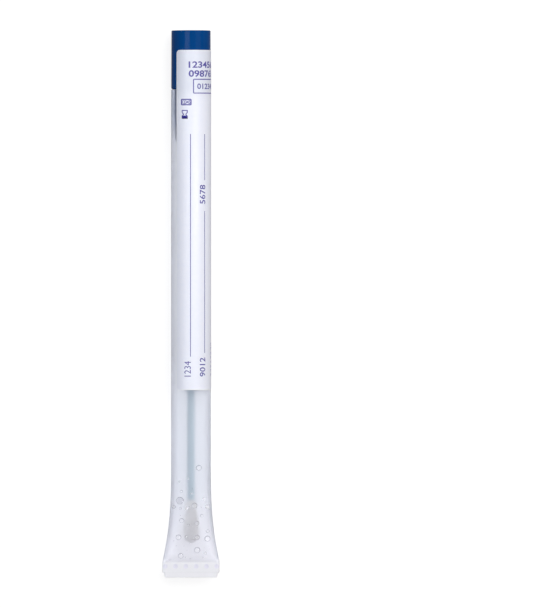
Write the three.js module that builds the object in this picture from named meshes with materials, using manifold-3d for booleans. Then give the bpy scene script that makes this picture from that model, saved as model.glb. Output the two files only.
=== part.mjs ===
// Specimen swab tube: a capped plastic tube that holds a swab, lying on a level surface.
//
// The tube lies along Y with its cap at +Y and its flat weld, level, at -Y. X is across it and +Z is
// up. The origin is on the surface, under the middle of the tube's whole length. Every piece is
// modelled about the tube's own axis, and the finished group is raised to rest on the surface.
//
// Units are millimetres.

import * as THREE from "three";
import { mergeVertices } from "three/addons/utils/BufferGeometryUtils.js";
import Module from "manifold-3d";

const wasm = await Module();
wasm.setup();

// ---------------------------------------------------------------------------------------------
// Driving dimensions
// ---------------------------------------------------------------------------------------------

// Stick and bud
const stickLength = 150; // with its bud, from the bud's tip to the end in the cap
const shaftDiameter = 2.35;
const shaftEdge = 0.2; // chamfer on both ends of the shaft
const budDiameter = 4.7;
const budLength = 13.1;
const budTipLength = 3.8; // from the bud's tip to where it is widest
const budNeckWall = 0.12; // fibre left on the shaft where the bud begins
const shaftInBud = 9.5; // how far the shaft reaches into the bud
const fibreClearance = 0.03;

// Tube
const tubeDiameter = 12.1;
const wall = 0.9;
const mouthChamfer = 0.25; // lead-in for the plug
const tipRoom = 5.75; // from the bud's tip to the weld
const flareLength = 29.4; // over which the round tube is drawn out flat
const flareCurve = 2.6; // power of the flare: higher stays round for longer
const slitHeight = 1; // inside height left where the weld starts

// Weld
const weldShoulder = 0.5; // over which the press bites into the flattened tube
const bandHeight = 2.6;
const bandThickness = 1.7;
const dimpleCount = 6;
const dimpleDiameter = 1.3;
const dimpleDepth = 0.35;
const dimpleRise = 1.6; // from the band's lower edge to the row of dimples
const tailStep = 0.6; // slope from the band to the trimmed tail
const tailHeight = 1.2;
const tailThickness = 1.3;
const tailInset = 0.55; // how much the tail is narrower than the band, each side
const tailTaper = 0.2; // further taper to the tail's end, each side

// Cap
const headHeight = 18;
const headSetback = 0.03; // how far the head lies inside the tube's outside at the seam
const headDraft = 0.09; // mould draft of the head, from the seam to the top
const headEdge = 0.3; // rounding of the top edge
const seatGap = 0.03; // head to tube rim
const plugClearance = 0.05; // plug to bore, each side
const plugLength = 8.1; // the stretch that fills the bore
const plugTailLength = 7.6; // the slimmer lead below it
const plugTailSetback = 0.45;
const plugShoulder = 0.6; // slope between the two
const plugEdge = 0.5; // chamfer of the plug's lower end
const plugWall = 1;
const coreDraft = 0.25; // draft of the hollow in the plug and head
const roofThickness = 4; // closed top of the head above the hollow
const stickRoof = 6.15; // closed top of the head above the stick
const socketWall = 0.9;
const socketSetback = 2; // how far the socket ends inside the plug
const socketClearance = 0.02;
const socketLeadIn = 0.4;

// Label
const labelLength = 103.6;
const labelWidth = 28; // round the tube
const labelEdgeAngle = -46.7; // degrees from straight up, to the edge on the -X side
const labelBelowTop = 6; // from the cap's top to the label's top edge
const labelCorner = 1.5;
const labelThickness = 0.12;
const glueGap = 0.03;
const tearGap = 0.1; // opening of the torn seam between the label and its seal strip

// Facets. A count of 2 more than a multiple of 4 gives flats above and below and corners at +-X.
const tubeSides = 34;
const stickSides = 18;
const ballSides = 16;
const flareSteps = 12;
const edgeSteps = 3;
const budTipSteps = 6;
const budShoulderSteps = 9;

// ---------------------------------------------------------------------------------------------
// Stations and radii that follow from them
// ---------------------------------------------------------------------------------------------

const weldHeight = weldShoulder + bandHeight + tailStep + tailHeight;
const overallLength = weldHeight + tipRoom + stickLength + stickRoof;

const tubeEndY = -overallLength / 2;
const capTopY = overallLength / 2;
const seamY = capTopY - headHeight;
const bandBottomY = tubeEndY + tailHeight + tailStep;
const weldTopY = tubeEndY + weldHeight;
const flareTopY = weldTopY + flareLength;
const budTipY = weldTopY + tipRoom;
const shaftTopY = budTipY + stickLength;
const shaftEndY = budTipY + budLength - shaftInBud;

const tubeRadius = tubeDiameter / 2;
const boreRadius = tubeRadius - wall;
const shaftRadius = shaftDiameter / 2;
const fibreBoreRadius = shaftRadius + fibreClearance;
const plugRadius = boreRadius - plugClearance;
const labelRadius = tubeRadius + glueGap + labelThickness;
const axisHeight = labelRadius * Math.cos(Math.PI / tubeSides); // the flat under the label rests

// The round tube is drawn flat without stretching, so its outline keeps its length all the way
// down: a flat oval whose height is given at the weld has this width.
const weldEntryHeight = 2 * wall + slitHeight;
const weldWidth = (Math.PI * tubeDiameter - (Math.PI - 2) * weldEntryHeight) / 2;
const ovalHeight = (width) => (Math.PI * tubeDiameter - 2 * width) / (Math.PI - 2);

// ---------------------------------------------------------------------------------------------
// Shapes
// ---------------------------------------------------------------------------------------------

/** Even shares from 0 to 1, both included. */
function steps(count) {
  return Array.from({ length: count + 1 }, (_, i) => i / count);
}

/** One ring of a flat oval: half circles joined by straights, its points even along the outline. */
function ovalRing(width, height, y) {
  const radius = height / 2;
  const straight = width - height;
  const arc = Math.PI * radius;
  const halfOutline = straight + arc;
  return Array.from({ length: tubeSides }, (_, i) => {
    const walked = ((i + 0.5) / tubeSides) * 2 * halfOutline; // from the top's middle, towards +X
    const side = walked <= halfOutline ? 1 : -1;
    const fromTop = side > 0 ? walked : 2 * halfOutline - walked;
    const turned = THREE.MathUtils.clamp((fromTop - straight / 2) / radius, 0, Math.PI);
    const flat = fromTop < halfOutline / 2
      ? Math.min(fromTop, straight / 2)
      : Math.min(halfOutline - fromTop, straight / 2);
    return new THREE.Vector3(side * (flat + radius * Math.sin(turned)), y, radius * Math.cos(turned));
  });
}

/** A closed solid through rings of equal length, with its first and its last ring filled flat. */
function loft(rings) {
  const count = rings[0].length;
  const middle = (ring) => ring.reduce((sum, p) => sum.add(p), new THREE.Vector3()).divideScalar(count);
  const points = [...rings.flat(), middle(rings[0]), middle(rings.at(-1))];
  const [firstMiddle, lastMiddle] = [points.length - 2, points.length - 1];
  const lastRing = (rings.length - 1) * count;
  const index = [];
  for (let i = 0; i < count; i++) {
    const next = (i + 1) % count;
    for (let start = 0; start < lastRing; start += count) {
      index.push(start + i, start + next, start + count + next);
      index.push(start + i, start + count + next, start + count + i);
    }
    index.push(firstMiddle, next, i);
    index.push(lastMiddle, lastRing + i, lastRing + next);
  }
  const geometry = new THREE.BufferGeometry().setFromPoints(points);
  geometry.setIndex(index);
  return geometry;
}

/** A solid of revolution about the tube's axis, from [radius, y] pairs that run down its outside. */
function revolve(profile, sides) {
  const upwards = profile.map(([radius, y]) => new THREE.Vector2(radius, y)).reverse();
  return new THREE.LatheGeometry(upwards, sides, Math.PI / sides);
}

/** A quarter ellipse, from [radius, y + rise] on a side to [radius - run, y] on its end. */
function roundedEdge(radius, run, y, rise) {
  return steps(edgeSteps).map((share) => {
    const turn = (share * Math.PI) / 2;
    return [radius - run * (1 - Math.cos(turn)), y + rise * (1 - Math.sin(turn))];
  });
}

function toManifold(geometry) {
  const bare = geometry.clone();
  bare.deleteAttribute("normal");
  bare.deleteAttribute("uv");
  const merged = mergeVertices(bare, 1e-5);
  const vertProperties = new Float32Array(merged.attributes.position.array);
  const triVerts = new Uint32Array(merged.index.array);
  return new wasm.Manifold(new wasm.Mesh({ numProp: 3, vertProperties, triVerts }));
}

function toGeometry(manifold) {
  const { vertProperties, triVerts } = manifold.getMesh();
  const geometry = new THREE.BufferGeometry();
  geometry.setAttribute("position", new THREE.BufferAttribute(vertProperties, 3));
  geometry.setIndex(new THREE.BufferAttribute(triVerts, 1));
  return geometry;
}

function piece(name, geometry, look) {
  geometry.computeVertexNormals();
  const mesh = new THREE.Mesh(geometry, new THREE.MeshStandardMaterial({ metalness: 0, ...look }));
  mesh.name = name;
  return mesh;
}

// ---------------------------------------------------------------------------------------------
// Tube
// ---------------------------------------------------------------------------------------------

/** Rings of the flare from the weld up, for a surface that lies this far inside the outside. */
function flareRings(inset) {
  return steps(flareSteps).map((risen) => {
    const flattened = 1 - risen;
    const width = tubeDiameter + (weldWidth - tubeDiameter) * flattened ** flareCurve;
    const y = flareTopY - flattened * flareLength;
    return ovalRing(width - 2 * inset, ovalHeight(width) - 2 * inset, y);
  });
}

/** The weld from its trimmed end up: tapered tail, step, and pressed band. */
function weldRings() {
  const tailWidth = weldWidth - 2 * tailInset;
  return [
    ovalRing(tailWidth - 2 * tailTaper, tailThickness, tubeEndY),
    ovalRing(tailWidth, tailThickness, tubeEndY + tailHeight),
    ovalRing(weldWidth, bandThickness, bandBottomY),
    ovalRing(weldWidth, bandThickness, bandBottomY + bandHeight),
  ];
}

/** Cutters for the press's row of dimples, spread over the band's flat on both of its faces. */
function dimpleCutters() {
  const rim = dimpleDiameter / 2;
  const ball = (rim ** 2 + dimpleDepth ** 2) / (2 * dimpleDepth);
  const cutter = new THREE.SphereGeometry(ball, ballSides, ballSides / 2).rotateX(Math.PI / 2);
  const rowWidth = weldWidth - bandThickness;
  const y = bandBottomY + dimpleRise;
  const height = bandThickness / 2 - dimpleDepth + ball;
  return steps(dimpleCount - 1).flatMap((share) => {
    const x = (share - 0.5) * rowWidth;
    return [1, -1].map((face) => toManifold(cutter.clone().translate(x, y, face * height)));
  });
}

function makeTube() {
  const outside = [...weldRings(), ...flareRings(0), ovalRing(tubeDiameter, tubeDiameter, seamY)];
  const mouthWidth = 2 * (boreRadius + mouthChamfer);
  const inside = [
    ovalRing(mouthWidth, mouthWidth, seamY),
    ovalRing(2 * boreRadius, 2 * boreRadius, seamY - mouthChamfer),
    ...flareRings(wall).reverse(),
  ];
  let body = toManifold(loft([...outside, ...inside]));
  for (const cutter of dimpleCutters()) {
    body = body.subtract(cutter);
  }
  const look = { color: 0xe1e4ed, roughness: 0.45, transparent: true, opacity: 0.5 };
  return piece("tube", toGeometry(body), look);
}

// ---------------------------------------------------------------------------------------------
// Cap, shaft and bud
// ---------------------------------------------------------------------------------------------

/** Radius of the cap's head at a height along the axis. It tapers by its draft towards the top. */
function headRadius(y) {
  return tubeRadius - headSetback - headDraft * ((y - seamY) / headHeight);
}

function makeCap() {
  const plugTailRadius = plugRadius - plugTailSetback;
  const plugStepY = seamY - plugLength;
  const plugEndY = plugStepY - plugTailLength;
  const coreRadius = plugTailRadius - plugWall;
  const coreRoofY = capTopY - roofThickness;
  const socketRadius = shaftRadius + socketClearance;
  const bossRadius = socketRadius + socketWall;
  const bossEndY = plugEndY + socketSetback;
  const topEdge = roundedEdge(headRadius(capTopY), headEdge, capTopY, -headEdge).reverse();
  const profile = [
    [0, capTopY],
    ...topEdge,
    [headRadius(seamY + seatGap), seamY + seatGap],
    [plugRadius, seamY + seatGap],
    [plugRadius, plugStepY + plugShoulder],
    [plugTailRadius, plugStepY],
    ...roundedEdge(plugTailRadius, plugEdge, plugEndY, plugEdge),
    [coreRadius, plugEndY],
    [coreRadius - coreDraft, coreRoofY],
    [bossRadius, coreRoofY],
    [bossRadius, bossEndY],
    [socketRadius + socketLeadIn, bossEndY],
    [socketRadius, bossEndY + socketLeadIn],
    [socketRadius, shaftTopY + socketClearance],
    [0, shaftTopY + socketClearance],
  ];
  return piece("cap", revolve(profile, tubeSides), { color: 0x13457f, roughness: 0.38 });
}

function makeShaft() {
  const profile = [
    [0, shaftTopY],
    [shaftRadius - shaftEdge, shaftTopY],
    [shaftRadius, shaftTopY - shaftEdge],
    [shaftRadius, shaftEndY + shaftEdge],
    [shaftRadius - shaftEdge, shaftEndY],
    [0, shaftEndY],
  ];
  return piece("shaft", revolve(profile, stickSides), { color: 0xa5c4cb, roughness: 0.35 });
}

/** Radius of the bud at a height above its tip: a round tip, then a long shoulder to the neck. */
function budRadius(height) {
  const widest = budDiameter / 2;
  if (height < budTipLength) {
    return widest * Math.sqrt(1 - (1 - height / budTipLength) ** 2);
  }
  const neck = fibreBoreRadius + budNeckWall;
  const along = (height - budTipLength) / (budLength - budTipLength);
  return neck + (widest - neck) * 0.5 * (1 + Math.cos(Math.PI * along ** 1.3));
}

function makeBud() {
  const tip = steps(budTipSteps).map((turn) => budTipLength * (1 - Math.cos((turn * Math.PI) / 2)));
  const shoulder = steps(budShoulderSteps).map((along) => {
    return THREE.MathUtils.lerp(budTipLength, budLength, along);
  });
  const heights = [...tip, ...shoulder.slice(1)].reverse();
  const boreEndY = shaftEndY - fibreClearance;
  const profile = [
    [0, boreEndY],
    [fibreBoreRadius, boreEndY],
    [fibreBoreRadius, budTipY + budLength],
    ...heights.map((height) => [budRadius(height), budTipY + height]),
  ];
  return piece("bud", revolve(profile, stickSides), { color: 0xe6e6ea, roughness: 0.95 });
}

// ---------------------------------------------------------------------------------------------
// Label
// ---------------------------------------------------------------------------------------------

const labelStart = THREE.MathUtils.degToRad(labelEdgeAngle);
const labelEnd = labelStart + labelWidth / labelRadius;
const labelTopY = capTopY - labelBelowTop;
const labelBottomY = labelTopY - labelLength;

/** Radius of a faceted round at an angle from straight up, given the radius of its corners. */
function facetRadius(cornerRadius, angle) {
  const step = (2 * Math.PI) / tubeSides;
  const flatMiddle = Math.round(angle / step) * step;
  return (cornerRadius * Math.cos(step / 2)) / Math.cos(angle - flatMiddle);
}

/** Angles of the label's columns: its rounded corners' points and every corner of the facets between. */
function labelAngles() {
  const step = (2 * Math.PI) / tubeSides;
  const inCorner = [0, 30, 60, 90].map((turn) => {
    return (labelCorner * (1 - Math.cos(THREE.MathUtils.degToRad(turn)))) / labelRadius;
  });
  const angles = inCorner.flatMap((inward) => [labelStart + inward, labelEnd - inward]);
  const firstCorner = Math.ceil(labelStart / step - 0.5);
  for (let i = firstCorner; (i + 0.5) * step < labelEnd; i++) {
    angles.push((i + 0.5) * step);
  }
  return angles.sort((a, b) => a - b);
}

/** How far the label's rounded corners cut its top or bottom edge back at an angle. */
function cornerDrop(angle) {
  const fromEdge = Math.min(angle - labelStart, labelEnd - angle) * labelRadius;
  const inside = Math.max(labelCorner - fromEdge, 0);
  return labelCorner - Math.sqrt(Math.max(labelCorner ** 2 - inside ** 2, 0));
}

/** A wrapped strip of label between two edges, on a round whose radius may change along the axis. */
function wrappedStrip(radiusUnder, bottomAt, topAt) {
  return loft(
    labelAngles().map((angle) => {
      const corner = (outer, y) => {
        const radius = facetRadius(radiusUnder(y) + glueGap + outer, angle);
        return new THREE.Vector3(radius * Math.sin(angle), y, radius * Math.cos(angle));
      };
      const [bottom, top] = [bottomAt(angle), topAt(angle)];
      return [
        corner(0, top),
        corner(labelThickness, top),
        corner(labelThickness, bottom),
        corner(0, bottom),
      ];
    }),
  );
}

const labelLook = { color: 0xf2f3f8, roughness: 0.6 };

function makeLabel() {
  const bottomAt = (angle) => labelBottomY + cornerDrop(angle);
  const topAt = () => seamY - tearGap / 2;
  return piece("label", wrappedStrip(() => tubeRadius, bottomAt, topAt), labelLook);
}

function makeSealStrip() {
  const bottomAt = () => seamY + tearGap / 2;
  const topAt = (angle) => labelTopY - cornerDrop(angle);
  return piece("label_seal_strip", wrappedStrip(headRadius, bottomAt, topAt), labelLook);
}

// ---------------------------------------------------------------------------------------------
// Assembly
// ---------------------------------------------------------------------------------------------

const container = new THREE.Group();
container.add(makeTube(), makeLabel());

const swab = new THREE.Group(); // pulls out of the tube along +Y as one
swab.add(makeCap(), makeShaft(), makeBud(), makeSealStrip());

const swabTube = new THREE.Group();
swabTube.add(container, swab);
swabTube.position.z = axisHeight;

export default swabTube;
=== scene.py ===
# %% [markdown]
# # A specimen swab tube
#
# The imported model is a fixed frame: it says where every piece is and which of its two bodies it
# moves with. This lesson builds the fine surfaces around that frame. Every piece gets three
# things: a shape modelled with the tools one would use by hand, a finish made of shader nodes,
# and a line that says which body it rides on.

import math
import random

import bmesh
import bpy
from mathutils import Matrix, Vector


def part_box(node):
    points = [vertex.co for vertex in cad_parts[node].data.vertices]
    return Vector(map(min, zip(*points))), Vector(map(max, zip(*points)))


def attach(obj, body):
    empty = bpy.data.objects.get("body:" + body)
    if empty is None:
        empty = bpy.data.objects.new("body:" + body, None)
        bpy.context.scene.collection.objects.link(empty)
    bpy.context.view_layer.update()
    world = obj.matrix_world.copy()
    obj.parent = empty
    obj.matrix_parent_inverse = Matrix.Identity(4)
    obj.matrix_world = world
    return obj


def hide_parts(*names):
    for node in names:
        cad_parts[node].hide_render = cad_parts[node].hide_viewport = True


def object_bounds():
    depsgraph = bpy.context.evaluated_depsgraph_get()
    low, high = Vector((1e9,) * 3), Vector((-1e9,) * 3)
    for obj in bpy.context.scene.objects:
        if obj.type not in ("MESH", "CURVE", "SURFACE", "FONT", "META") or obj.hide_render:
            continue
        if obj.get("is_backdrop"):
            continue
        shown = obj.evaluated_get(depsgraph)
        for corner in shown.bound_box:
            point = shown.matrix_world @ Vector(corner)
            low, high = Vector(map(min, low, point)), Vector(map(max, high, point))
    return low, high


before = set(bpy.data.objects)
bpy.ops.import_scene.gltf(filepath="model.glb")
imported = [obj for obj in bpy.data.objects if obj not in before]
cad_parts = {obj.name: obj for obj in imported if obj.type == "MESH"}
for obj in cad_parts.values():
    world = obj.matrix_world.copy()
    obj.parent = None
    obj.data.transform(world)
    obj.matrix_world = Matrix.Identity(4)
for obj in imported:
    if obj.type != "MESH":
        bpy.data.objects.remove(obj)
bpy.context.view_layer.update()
mm = 0.001

# %% [markdown]
# ## Where things are
#
# The tube's axis lies along Y, with the cap at the far end. Stations along it come from the
# frame's own boxes, so nothing has to be fitted afterwards. Only what no box can tell, such as
# the wall's thickness, is written out.

# %% Stations and sizes
shaft_low, shaft_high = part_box("shaft")
axis_z = (shaft_low.z + shaft_high.z) / 2
end_y, seam_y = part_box("tube")[0].y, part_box("tube")[1].y
cap_top_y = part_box("cap")[1].y
cap_bottom_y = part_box("cap")[0].y
label_bottom_y, label_top_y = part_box("label")[0].y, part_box("label_seal_strip")[1].y
bud_tip_y, bud_neck_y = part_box("bud")[0].y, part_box("bud")[1].y

tube_radius, wall = 6.04 * mm, 0.9 * mm
flare_length, flare_curve = 29.4 * mm, 2.6
weld_half_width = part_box("tube")[1].x
weld_shoulder, band_height, tail_step, tail_height = 0.5 * mm, 2.6 * mm, 0.6 * mm, 1.2 * mm
press_entry = 2.2 * mm
band_thickness, tail_thickness = 1.7 * mm, 1.5 * mm
tail_inset, tail_taper, tail_edge = 0.55 * mm, 0.2 * mm, 0.2 * mm

tail_top_y = end_y + tail_height
band_bottom_y = tail_top_y + tail_step
band_top_y = band_bottom_y + band_height
weld_top_y = band_top_y + weld_shoulder
flare_top_y = weld_top_y + flare_length
print("axis", round(axis_z / mm, 3), "mm up, flare starts at", round(flare_top_y / mm, 1), "mm")

# %% [markdown]
# ## Helpers for modelling
#
# An operator works on whatever is selected, so each step starts from an empty selection. In edit
# mode, faces and edges are picked in code by where they are, as one would click on them.


# %% Selecting
def select_only(*objects):
    if bpy.context.mode != "OBJECT":
        bpy.ops.object.mode_set(mode="OBJECT")
    bpy.ops.object.select_all(action="DESELECT")
    for obj in objects:
        obj.select_set(True)
    if objects:
        bpy.context.view_layer.objects.active = objects[0]


def middle_of(part):
    if isinstance(part, bmesh.types.BMVert):
        return part.co
    return sum((v.co for v in part.verts), Vector()) / len(part.verts)


def pick(kind, test):
    """In edit mode, selects only the VERT, EDGE or FACE parts whose middle passes the test."""
    bpy.ops.mesh.select_mode(type=kind)
    bpy.ops.mesh.select_all(action="DESELECT")
    shape = bmesh.from_edit_mesh(bpy.context.object.data)
    parts = {"VERT": shape.verts, "EDGE": shape.edges, "FACE": shape.faces}[kind]
    for part in parts:
        if test(middle_of(part)):
            part.select_set(True)
    shape.select_flush_mode()
    bmesh.update_edit_mesh(bpy.context.object.data)


def off_axis(point):
    """How far a point is from the tube's axis."""
    return math.hypot(point.x, point.z - axis_z)


# %% [markdown]
# The tube, the cap and the stick are drawn out of cylinders as on a lathe: an end ring or end face
# is extruded to the next station and resized there about the tube's axis. These helpers do that,
# and the last ones finish a piece: modifiers applied, doubles merged, faces turned outwards, and
# the shading rounded over all edges but sharp ones.


# %% Shaping
def new_blank(name, radius, low_y, high_y, sides, ends):
    """A round blank along the tube's axis, left in edit mode."""
    select_only()
    bpy.ops.mesh.primitive_cylinder_add(
        vertices=sides,
        radius=radius,
        depth=high_y - low_y,
        end_fill_type=ends,
        location=(0, (low_y + high_y) / 2, axis_z),
        rotation=(math.pi / 2, 0, 0),
    )
    blank = bpy.context.object
    blank.name = blank.data.name = name
    bpy.ops.object.transform_apply(location=True, rotation=True, scale=True)
    bpy.ops.object.mode_set(mode="EDIT")
    return blank


def draw_to(y):
    """Extrudes the selected end along the tube, as far as the station y."""
    shape = bmesh.from_edit_mesh(bpy.context.object.data)
    chosen = [v.co.y for v in shape.verts if v.select]
    step = y - sum(chosen) / len(chosen)
    bpy.ops.mesh.extrude_region_move(TRANSFORM_OT_translate={"value": (0, step, 0)})


def resize_about_axis(scale):
    """Shrinks or grows what is selected about the tube's axis, and not along it."""
    bpy.ops.transform.resize(value=(scale, 1, scale), center_override=(0, 0, axis_z))


def add_ring(y):
    """Cuts a ring across a long piece, so that a rounded end doesn't bend its shading."""
    bpy.ops.mesh.select_all(action="SELECT")
    bpy.ops.mesh.bisect(plane_co=(0, y, 0), plane_no=(0, 1, 0))


# %% Finishing a piece
def apply_modifier(obj, kind, **settings):
    select_only(obj)
    modifier = obj.modifiers.new(kind.lower(), kind)
    for key, value in settings.items():
        setattr(modifier, key, value)
    bpy.ops.object.modifier_apply(modifier=modifier.name)


def clean_and_smooth(obj, degrees=35):
    """Merges doubles, turns faces outwards and rounds the shading of all but sharp edges."""
    select_only(obj)
    bpy.ops.object.mode_set(mode="EDIT")
    bpy.ops.mesh.select_all(action="SELECT")
    bpy.ops.mesh.remove_doubles(threshold=2e-7)
    bpy.ops.mesh.normals_make_consistent(inside=False)
    bpy.ops.object.mode_set(mode="OBJECT")
    bpy.ops.object.shade_smooth_by_angle(angle=math.radians(degrees))


def join(name, pieces):
    select_only(*pieces)
    bpy.ops.object.join()
    pieces[0].name = pieces[0].data.name = name
    return pieces[0]


def own_copy(obj):
    """A copy with its own mesh, so that it can be shaped and joined by itself."""
    copy = bpy.data.objects.new(obj.name, obj.data.copy())
    bpy.context.scene.collection.objects.link(copy)
    return copy


def belongs(piece, body, slot, *nodes):
    """Says what a finished piece moves with and hides the frame's pieces that it stands for. The
    slot is not used.
    """
    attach(piece, body)
    if nodes:
        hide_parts(*nodes)
    print(piece.name, "rides on", body, "with", len(piece.data.polygons), "faces")


# %% [markdown]
# ## Helpers for finishes
#
# Every finish is one Principled shader. What is the same all over goes straight on its sockets.
# What varies comes from noise on Object coordinates, at the scale that the real surface shows: such
# a pattern stays on the piece when it moves, and in every view. A noise can drive a colour or a
# roughness through a ramp, or raise the surface by a bump.


# %% Colour and noise
def screen(red, green, blue):
    """The linear colour of 0 to 255 screen values."""
    shares = (red / 255, green / 255, blue / 255)
    return tuple(v / 12.92 if v <= 0.04 else ((v + 0.055) / 1.055) ** 2.4 for v in shares)


def new_finish(name, colour, roughness, **sockets):
    material = bpy.data.materials.new(name)
    material.use_nodes = True
    shader = material.node_tree.nodes["Principled BSDF"]
    shader.inputs["Base Color"].default_value = (*colour, 1)
    shader.inputs["Roughness"].default_value = roughness
    for socket, value in sockets.items():
        shader.inputs[socket.replace("_", " ")].default_value = value
    return material


def add_node(tree, kind, **sockets):
    """A new node. Each socket gets a value, or the output of another node that drives it."""
    node = tree.nodes.new(f"ShaderNode{kind}")
    for socket, value in sockets.items():
        target = node.inputs[socket.replace("_", " ")]
        if isinstance(value, bpy.types.NodeSocket):
            tree.links.new(value, target)
        else:
            target.default_value = value
    return node


def axis_of(tree, kind, axis):
    """One axis of a Texture Coordinate, such as Object's Y."""
    place = add_node(tree, "TexCoord").outputs[kind]
    return add_node(tree, "SeparateXYZ", Vector=place).outputs[axis]


def ramp_of(tree, source, low, high, start=0.0, stop=1.0):
    """A number or a colour that goes from low to high as the source goes from start to stop."""
    ramp = add_node(tree, "ValToRGB", Fac=source)
    for element, at, value in zip(ramp.color_ramp.elements, (start, stop), (low, high)):
        element.position = at
        element.color = (*value, 1) if isinstance(value, tuple) else (value, value, value, 1)
    return ramp.outputs["Color"]


def noise_of(material, scale, detail=2.0, stretch=(1, 1, 1)):
    """Noise on Object coordinates: scale is in patches a metre, stretch below 1 draws it out."""
    tree = material.node_tree
    place = add_node(tree, "TexCoord").outputs["Object"]
    stretched = add_node(tree, "Mapping", Scale=stretch, Vector=place).outputs["Vector"]
    grain = add_node(tree, "TexNoise", Scale=scale, Detail=detail, Vector=stretched)
    return grain.outputs["Fac"]


# %% What a noise or a station drives
def vary(material, socket, source, low, high):
    """Drives a socket between two numbers or two colours by a noise."""
    tree = material.node_tree
    varied = ramp_of(tree, source, low, high, 0.3, 0.7)
    tree.links.new(varied, tree.nodes["Principled BSDF"].inputs[socket])


def change_along(material, start, stop, colour):
    """Multiplies the base colour by another one, little by little between two stations along Y."""
    tree = material.node_tree
    base = tree.nodes["Principled BSDF"].inputs["Base Color"]
    along = axis_of(tree, "Object", "Y")
    share = add_node(tree, "MapRange", From_Min=start, From_Max=stop, Value=along)
    share.interpolation_type = "SMOOTHSTEP"
    mixed = add_node(tree, "Mix")
    mixed.data_type, mixed.blend_type = "RGBA", "MULTIPLY"
    mixed.inputs["B"].default_value = (*colour, 1)
    tree.links.new(share.outputs["Result"], mixed.inputs["Factor"])
    tree.links.new(base.links[0].from_socket, mixed.inputs["A"])
    tree.links.new(mixed.outputs["Result"], base)


def bump(material, source, height):
    """Raises the surface by a noise, by at most the height in metres."""
    tree = material.node_tree
    raised = add_node(tree, "Bump", Strength=1.0, Distance=height, Height=source)
    tree.links.new(raised.outputs["Normal"], tree.nodes["Principled BSDF"].inputs["Normal"])


# %% [markdown]
# Clear pieces need two things more. A clear plastic takes a little of the light on every
# millimetre, so a wall seen edge on is darker: that is a plain Volume Absorption, and it needs one
# material on the outside and on the bore. And a lamp has to light what is inside. Its rays can't
# find their way through bending surfaces, so they meet a transparent stand-in.


# %% Clear matter
def absorb(material, density, colour):
    tree = material.node_tree
    volume = add_node(tree, "VolumeAbsorption", Density=density, Color=(*colour, 1))
    tree.links.new(volume.outputs["Volume"], tree.nodes["Material Output"].inputs["Volume"])


def let_lamps_in(material, share=(1, 1, 1)):
    tree = material.node_tree
    to_lamp = add_node(tree, "LightPath").outputs["Is Shadow Ray"]
    stand_in = add_node(tree, "BsdfTransparent", Color=(*share, 1))
    either = add_node(tree, "MixShader", Fac=to_lamp)
    tree.links.new(tree.nodes["Principled BSDF"].outputs["BSDF"], either.inputs[1])
    tree.links.new(stand_in.outputs["BSDF"], either.inputs[2])
    tree.links.new(either.outputs["Shader"], tree.nodes["Material Output"].inputs["Surface"])


# %% [markdown]
# ## The tube: a round blank in a press
#
# The real tube is moulded round. Its end is then heated and squeezed flat in a press. Scaling the
# end rings would turn circles into ellipses and shorten their outline, so the model is made like
# the real one. A round blank is extruded ring by ring. Then a press rule moves each point to the
# place on a flat oval that it had on the round outline, and the outline keeps its length.


# %% The press rule
def eased(share):
    share = min(max(share, 0.0), 1.0)
    return share * share * (3 - 2 * share)


def oval_size(y):
    """Outside width and height of the tube at a station along it."""
    across = 2 * tube_radius
    weld_width = 2 * weld_half_width
    if y >= band_bottom_y:
        flattened = min(max((flare_top_y - y) / flare_length, 0.0), 1.0) ** flare_curve
        width = across + (weld_width - across) * flattened
        height = (math.pi * across - 2 * width) / (math.pi - 2)
        bite = eased((weld_top_y + press_entry - y) / (press_entry + weld_shoulder))
        return width, height + (band_thickness - height) * bite
    step = eased((band_bottom_y - y) / tail_step)
    trim = max(tail_top_y - y, 0) / tail_height
    width = weld_width - 2 * (tail_inset * step + tail_taper * trim)
    height = band_thickness + (tail_thickness - band_thickness) * step
    into_edge = max(end_y + tail_edge - y, 0) / tail_edge
    rounded_off = 2 * tail_edge * (1 - math.sqrt(max(1 - into_edge**2, 0)))
    return width - rounded_off, height - rounded_off


def on_oval(turn, y, inset=0.0):
    """The point of the tube's oval that was at this angle on the round blank."""
    width, height = oval_size(y)
    radius, straight = height / 2, width - height
    walked = abs(turn) / math.pi * (straight + math.pi * radius)
    turned = min(max((walked - straight / 2) / radius, 0.0), math.pi)
    flat = min(walked, straight + math.pi * radius - walked, straight / 2)
    x = flat + (radius - inset) * math.sin(turned)
    return math.copysign(x, turn), axis_z + (radius - inset) * math.cos(turned)


def press(obj):
    """Each point keeps its depth under the blank's skin, so the wall keeps its thickness."""
    for vertex in obj.data.vertices:
        turn = math.atan2(vertex.co.x, vertex.co.z - axis_z)
        inset = tube_radius - off_axis(vertex.co)
        vertex.co.x, vertex.co.z = on_oval(turn, vertex.co.y, inset)


for station in (flare_top_y, weld_top_y, band_top_y):
    print("oval at", round(station / mm, 1), [round(v / mm, 2) for v in oval_size(station)], "mm")

# %% [markdown]
# ### The blank
#
# A press can only bend a mesh where it has rings, so the stations lie close together in the flare
# and closer still in the weld. The wall is one closed skin: the outside is drawn down to the
# trimmed end and filled there, the mouth is turned in to the bore, and the bore is drawn down to
# where the weld starts.


# %% The blank
def stations(start, stop, count):
    return [start + (stop - start) * (i + 1) / count for i in range(count)]


edge = 0.1 * mm
bore_radius = tube_radius - wall
flare = stations(flare_top_y, weld_top_y, 60)
weld = stations(weld_top_y, band_top_y, 5) + stations(band_top_y, band_bottom_y, 20)
tail = stations(band_bottom_y, tail_top_y, 6) + [end_y + tail_edge]
tail += [end_y + tail_edge * (1 - math.sin(math.radians(a))) for a in (30, 60, 90)]

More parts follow.
